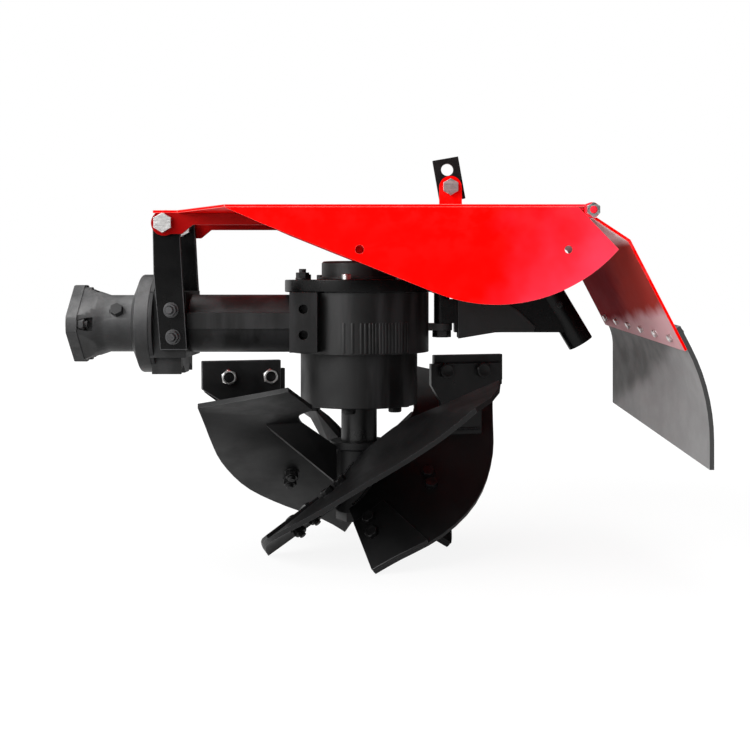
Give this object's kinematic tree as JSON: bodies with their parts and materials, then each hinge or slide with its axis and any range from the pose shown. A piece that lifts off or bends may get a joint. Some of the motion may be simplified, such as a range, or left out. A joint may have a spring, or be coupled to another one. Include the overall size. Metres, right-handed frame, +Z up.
{
  "type": "rotary plough",
  "caption": "Rotary plough for a walk-behind tractor: flanged neck and beam, round gearbox, upright rotor with curved blades and knives, tilting hood with hinged flap, swinging rear arm.",
  "frame": {"origin": "centre of the drive flange's face, on the drive axis", "axes": "+X runs back along the machine, away from the tractor; +Y to the machine's right side; +Z up"},
  "size_m": [0.6925, 0.3278, 0.4547],
  "materials": {
    "black_paint": "satin",
    "cast_grey": "satin",
    "red_paint": "gloss",
    "zinc_steel": "satin",
    "grey_rubber": "satin"
  },
  "bodies": {
    "housing": {"drive_flange_neck": "cast_grey", "round_flange": "cast_grey", "gearbox_casting": "black_paint", "top_cover": "black_paint", "top_bearing_cap": "black_paint", "filler_plug": "black_paint", "neck_plug": "black_paint", "rotor_bearing_housing": "black_paint", "left_strap": "black_paint", "right_strap": "black_paint", "left_hood_pivot_bolt": "zinc_steel", "right_hood_pivot_bolt": "zinc_steel", "arm_pin": "black_paint"},
    "input_shaft": {"input_claw_shaft": "zinc_steel"},
    "rotor": {"rotor_shaft": "zinc_steel", "rotor_hub": "black_paint", "blade_1": "black_paint", "blade_2": "black_paint", "blade_3": "black_paint", "blade_4": "black_paint", "share_points": "black_paint", "blade_stays": "black_paint", "knife_lugs": "black_paint", "knives": "black_paint"},
    "hood": {"hood_top_plate": "red_paint", "left_side_plate": "red_paint", "right_side_plate": "red_paint", "left_ear_arm": "red_paint", "right_ear_arm": "red_paint", "hanger_lug": "red_paint", "hanger_bolt": "zinc_steel", "hood_knuckles": "red_paint", "hinge_pin": "zinc_steel"},
    "hanger": {"hanger_plate": "black_paint"},
    "flap": {"flap_panel": "red_paint", "rubber_sheet": "grey_rubber"},
    "rear_arm": {"arm_bar": "black_paint", "arm_side_plates": "black_paint", "skid_tube": "black_paint"}
  },
  "joints": [
    {"name": "rotor_spin", "type": "hinge", "parent": "housing", "child": "rotor", "pos_m": [0.325, 0, 0], "axis": [0, 0, 1], "continuous": true},
    {"name": "input_spin", "type": "hinge", "parent": "housing", "child": "input_shaft", "pos_m": [0, 0, 0], "axis": [1, 0, 0], "continuous": true},
    {"name": "hood_tilt", "type": "hinge", "parent": "housing", "child": "hood", "pos_m": [0.113, 0, 0.112], "axis": [0, -1, 0], "range_deg": [-6, 50]},
    {"name": "hanger_swivel", "type": "hinge", "parent": "hood", "child": "hanger", "pos_m": [0.43, 0, 0.156], "axis": [0, 1, 0], "range_deg": [-40, 60]},
    {"name": "flap_swing", "type": "hinge", "parent": "hood", "child": "flap", "pos_m": [0.567, -0.155, 0.12], "axis": [0.0523, -0.9986, 0], "range_deg": [-8, 110]},
    {"name": "rear_arm_swing", "type": "hinge", "parent": "housing", "child": "rear_arm", "pos_m": [0.42, 0, 0.02], "axis": [0, 0, 1], "range_deg": [-12, 12]}
  ],
  "couplings": [
    {"joint": "input_spin", "follows": "rotor_spin", "ratio": 3.5}
  ]
}
